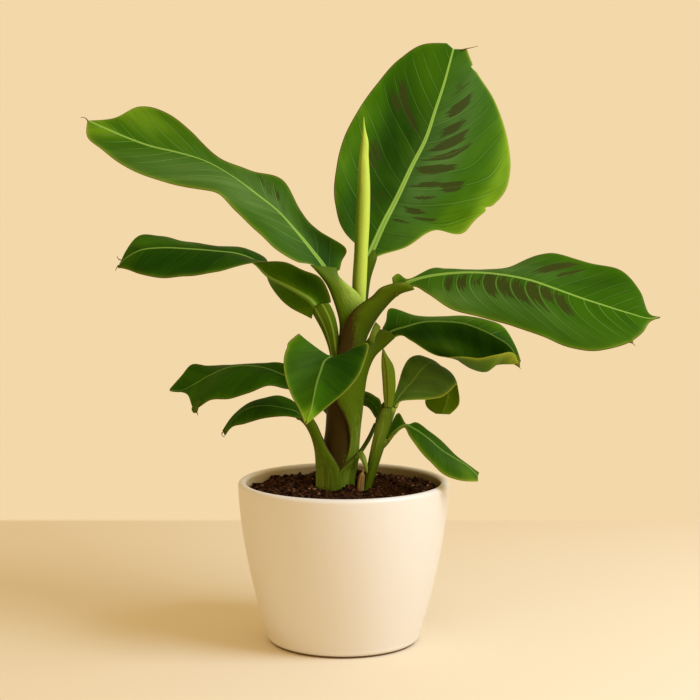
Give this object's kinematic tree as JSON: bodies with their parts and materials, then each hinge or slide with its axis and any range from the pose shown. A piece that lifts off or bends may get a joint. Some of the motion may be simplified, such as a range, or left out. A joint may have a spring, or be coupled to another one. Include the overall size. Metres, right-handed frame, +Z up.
{
  "type": "potted banana plant",
  "caption": "Young banana plant with broad arching leaves, a rolled new leaf and a small offshoot, standing in soil in a round cream ceramic planter.",
  "frame": {"origin": "middle of the planter's flat foot, on the surface it stands on", "axes": "+Z up along the planter's axis, +X towards the tip of the long leaf on the right, -Y towards the viewer of the plant's front"},
  "size_m": [0.4693, 0.214, 0.512],
  "materials": {
    "glaze": "smooth satin cream glaze with faint throwing rings and a soft highlight",
    "soil": null,
    "stem": "living leaf sheaths, olive green and finely striped, with dark maroon-brown blotches",
    "leaf": "living leaf, satin waxy green with pale midrib, fine side veins and maroon blotches",
    "young_leaf": "new leaf still rolled up, smooth pale yellow-green"
  },
  "bodies": {
    "root": {"pot": "glaze", "soil": "soil", "main_stem": "stem", "shoot_stem": "stem", "rolled_leaf": "young_leaf", "shoot_rolled_leaf": "young_leaf", "leaf_upright": "leaf", "leaf_upper_left": "leaf", "leaf_right": "leaf", "leaf_mid_left": "leaf", "leaf_mid_right": "leaf", "leaf_front": "leaf", "leaf_low_left": "leaf", "leaf_lowest_left": "leaf", "shoot_leaf_broad": "leaf", "shoot_leaf_drooping": "leaf", "shoot_leaf_back": "leaf"}
  },
  "joints": []
}
